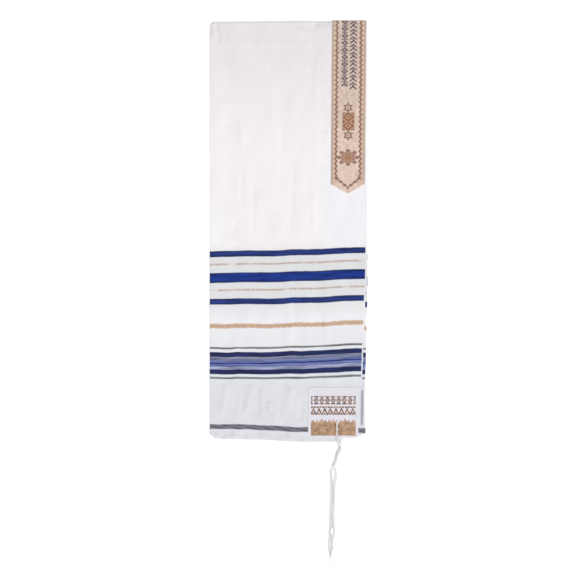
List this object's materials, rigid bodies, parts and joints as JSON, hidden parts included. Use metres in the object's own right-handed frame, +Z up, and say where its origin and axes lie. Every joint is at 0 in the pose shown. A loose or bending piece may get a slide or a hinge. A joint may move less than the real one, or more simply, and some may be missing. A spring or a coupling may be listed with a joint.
{
  "type": "tallit prayer shawl, folded flat",
  "caption": "White woven prayer shawl folded into a flat strip, with blue, navy and gold stripes, a brocade neckband, a corner patch and a knotted corner tassel.",
  "frame": {"origin": "centre of the whole part's plan, at the surface that it lies on", "axes": "+Y along the folded strip towards the neck fold, +X towards the open side with the neckband, +Z up"},
  "size_m": [0.339, 1.178, 0.0111],
  "materials": {
    "white_cloth": "fine soft weave with woven stripes, matt",
    "inner_cloth": "the same weave on the layers under the front one, matt",
    "beige_brocade": "woven brocade with a slight sheen",
    "patch_satin": "satin with gold-brown stitching",
    "tassel_wool": "twisted wool cord, matt"
  },
  "bodies": {
    "root": {"front_layer": "white_cloth", "folded_layers": "inner_cloth", "neckband": "beige_brocade", "corner_patch": "patch_satin", "tassel": "tassel_wool"}
  },
  "joints": []
}
